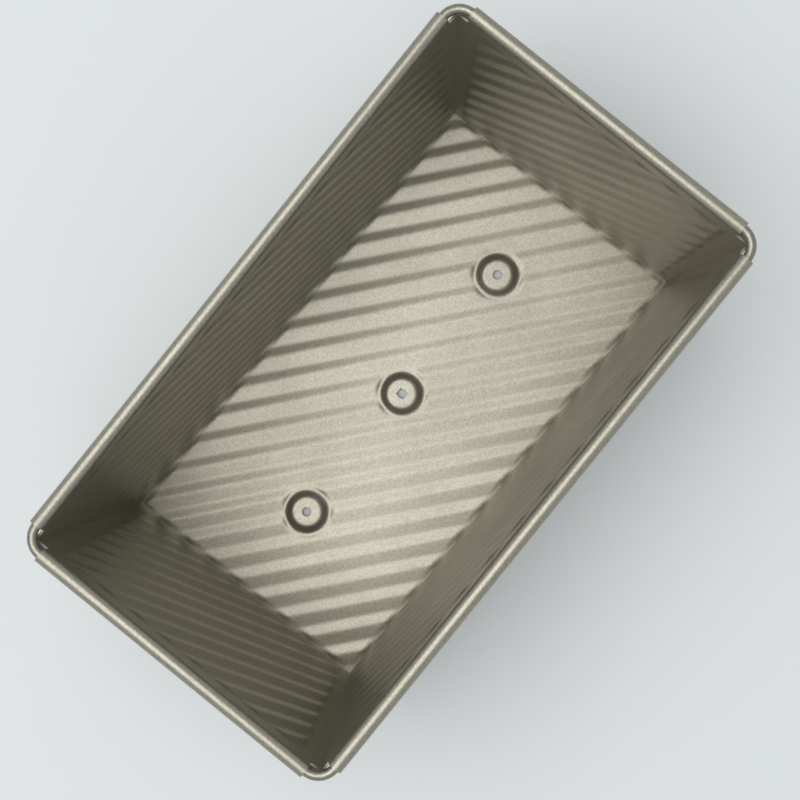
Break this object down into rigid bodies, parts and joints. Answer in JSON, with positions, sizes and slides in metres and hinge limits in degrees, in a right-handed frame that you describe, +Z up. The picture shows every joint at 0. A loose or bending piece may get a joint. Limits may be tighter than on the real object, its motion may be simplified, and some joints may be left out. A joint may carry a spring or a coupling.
{
  "type": "pullman loaf pan",
  "caption": "Deep straight-sided loaf pan of folded ridged sheet with vent bosses in the floor and a rim rolled over a wire.",
  "frame": {"origin": "centre of the underside, on the table", "axes": "+X along the pan's length, +Z up"},
  "size_m": [0.2052, 0.1162, 0.116],
  "materials": {
    "coated_sheet": "satin",
    "rim_wire": "satin"
  },
  "bodies": {
    "root": {"base_panel": "coated_sheet", "long_wall_back": "coated_sheet", "long_wall_front": "coated_sheet", "end_wall_right": "coated_sheet", "end_wall_left": "coated_sheet", "corner_web_back_right": "coated_sheet", "corner_web_front_right": "coated_sheet", "corner_web_back_left": "coated_sheet", "corner_web_front_left": "coated_sheet", "rim_bead_back": "coated_sheet", "rim_bead_front": "coated_sheet", "rim_bead_right": "coated_sheet", "rim_bead_left": "coated_sheet", "rim_wire": "rim_wire"}
  },
  "joints": []
}
